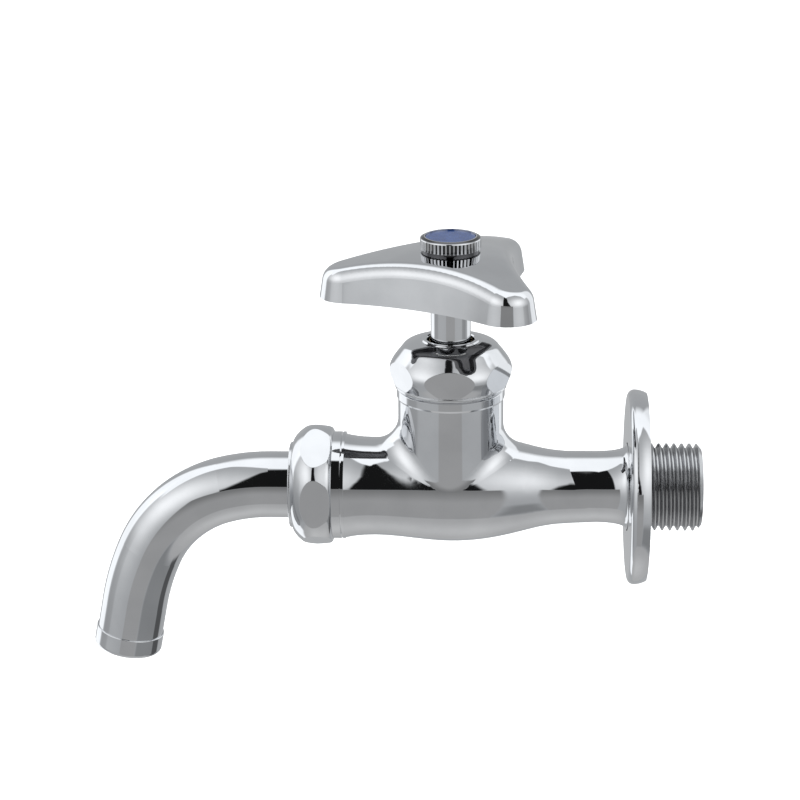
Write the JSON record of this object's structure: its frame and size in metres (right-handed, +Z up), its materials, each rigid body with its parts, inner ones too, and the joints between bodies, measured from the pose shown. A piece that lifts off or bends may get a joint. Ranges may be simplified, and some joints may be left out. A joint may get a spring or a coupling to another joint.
{
  "type": "wall tap with swivel spout",
  "caption": "Chrome wall-mounted tap with a threaded inlet, round escutcheon, three-armed handle on a rising spindle, and a bent pipe spout that swivels.",
  "frame": {"origin": "on the inlet axis, where the plain land at the root of the inlet thread ends", "axes": "+X along the inlet thread into the wall, +Z up along the valve spindle, spout leaving towards -X and hanging in the XZ plane"},
  "size_m": [0.1479, 0.0549, 0.1062],
  "materials": {
    "chrome_body": "polished",
    "chrome_flange": "polished",
    "chrome_nuts": "polished",
    "chrome_spindle": "polished",
    "chrome_handle": "polished",
    "chrome_screw": "polished",
    "chrome_pipe": "polished",
    "brass": "machined",
    "rubber": "matt",
    "white_plastic": "moulded",
    "blue_index": "glossy"
  },
  "bodies": {
    "tap_body": {"body_casting": "chrome_body", "escutcheon": "chrome_flange", "cap_nut": "chrome_nuts", "gland_follower": "brass", "gland_packing": "rubber", "packing_seat_ring": "brass", "spout_nut": "chrome_nuts", "slip_ring": "white_plastic", "u_packing": "rubber"},
    "jumper": {"jumper_valve": "brass", "jumper_washer": "rubber", "jumper_nut": "brass"},
    "spindle_and_handle": {"spindle": "chrome_spindle", "handle": "chrome_handle", "spline_bush": "white_plastic", "handle_screw": "chrome_screw", "index_disc": "blue_index"},
    "spout": {"spout_pipe": "chrome_pipe", "retaining_ring": "brass", "outlet_ring": "chrome_pipe"}
  },
  "joints": [
    {"name": "valve_lift", "type": "slide", "parent": "tap_body", "child": "jumper", "axis": [0, 0, 1], "range_m": [0, 0.00375]},
    {"name": "handle_turn", "type": "hinge", "parent": "jumper", "child": "spindle_and_handle", "pos_m": [-0.04445, 0, 0.0479], "axis": [0, 0, 1], "range_deg": [0, 540]},
    {"name": "spout_swivel", "type": "hinge", "parent": "tap_body", "child": "spout", "pos_m": [-0.08, 0, 0], "axis": [1, 0, 0], "continuous": true}
  ],
  "couplings": [
    {"joint": "handle_turn", "follows": "valve_lift", "rad_per_m": 2513.3}
  ]
}
